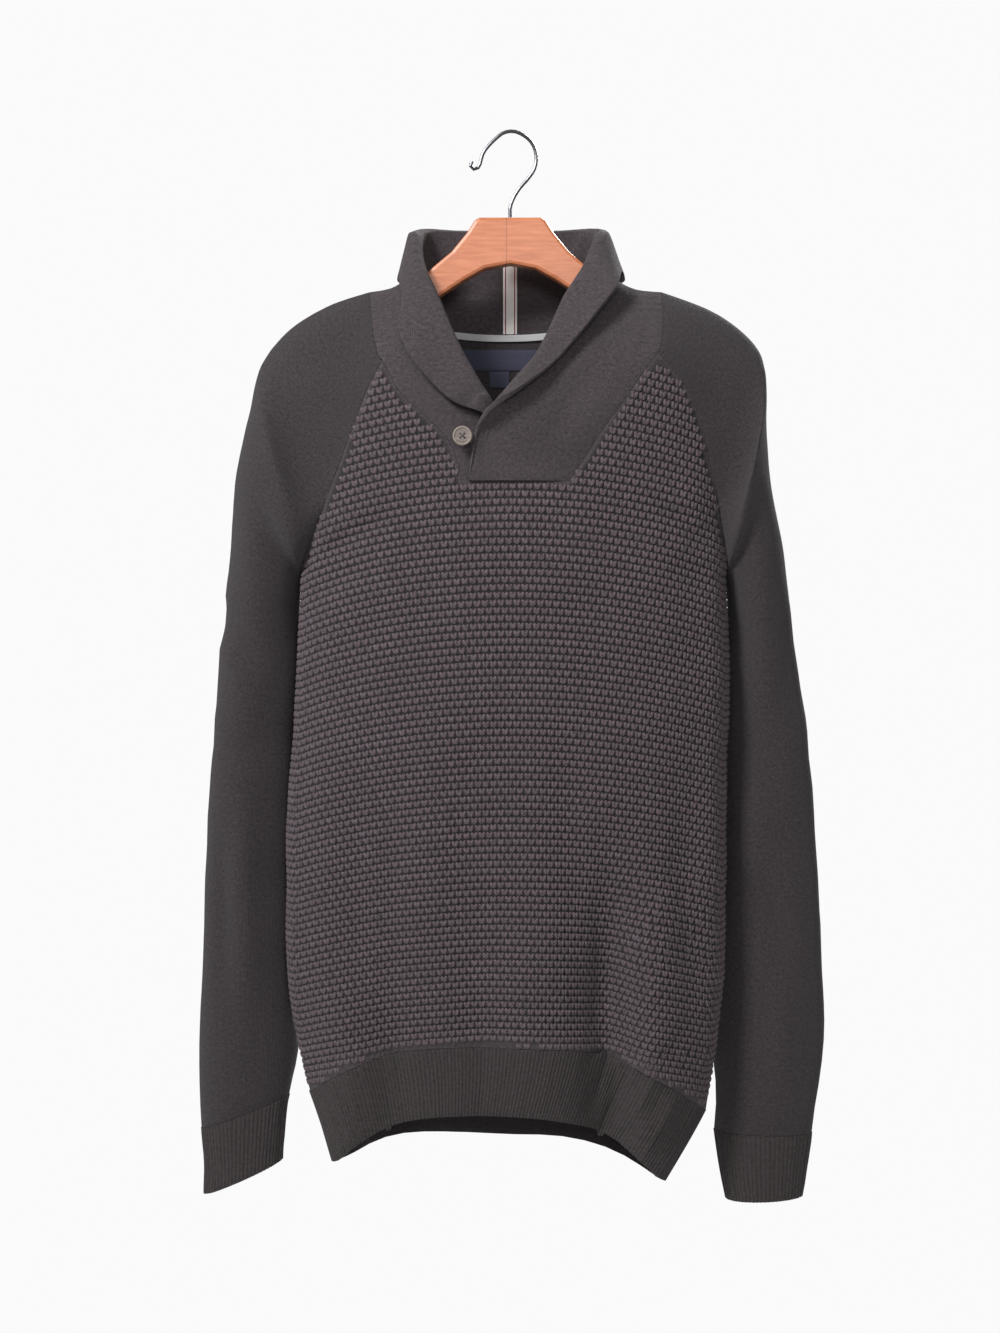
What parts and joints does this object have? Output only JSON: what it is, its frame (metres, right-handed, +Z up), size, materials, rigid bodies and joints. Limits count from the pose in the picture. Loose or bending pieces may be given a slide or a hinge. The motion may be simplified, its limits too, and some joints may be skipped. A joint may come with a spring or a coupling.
{
  "type": "shawl collar pullover on a hanger",
  "caption": "Knitted pullover with a buttoned shawl collar, raglan sleeves and ribbed hem and cuffs, hanging on a wooden hanger with a wire hook.",
  "frame": {"origin": "inner top of the hook, where the rail carries it", "axes": "+Z up, the garment's front faces -Y, the wearer's left side is at +X"},
  "size_m": [0.5501, 0.1553, 0.9334],
  "materials": {
    "basket_knit": "charcoal melange basket knit",
    "plain_knit": "charcoal melange plain knit",
    "rib_knit": "charcoal melange rib knit",
    "collar_knit": "charcoal melange fine knit",
    "grey_tape": "light grey twill tape",
    "striped_tape": "off-white twill tape with thin wine-red edges",
    "navy_label": "dark navy woven label, bare",
    "horn": "grey-brown horn look",
    "wood": "pale lacquered wood",
    "steel": "polished wire"
  },
  "bodies": {
    "root": {"front": "basket_knit", "back": "plain_knit", "sleeve_right": "plain_knit", "sleeve_left": "plain_knit", "cuff_right": "rib_knit", "cuff_left": "rib_knit", "hem_front": "rib_knit", "hem_back": "rib_knit", "collar_right": "collar_knit", "collar_left": "collar_knit", "neck_tape": "grey_tape", "back_tape": "striped_tape", "neck_label": "navy_label", "size_label": "navy_label", "button": "horn", "button_shank": "plain_knit", "hanger": "wood", "hook": "steel"}
  },
  "joints": []
}
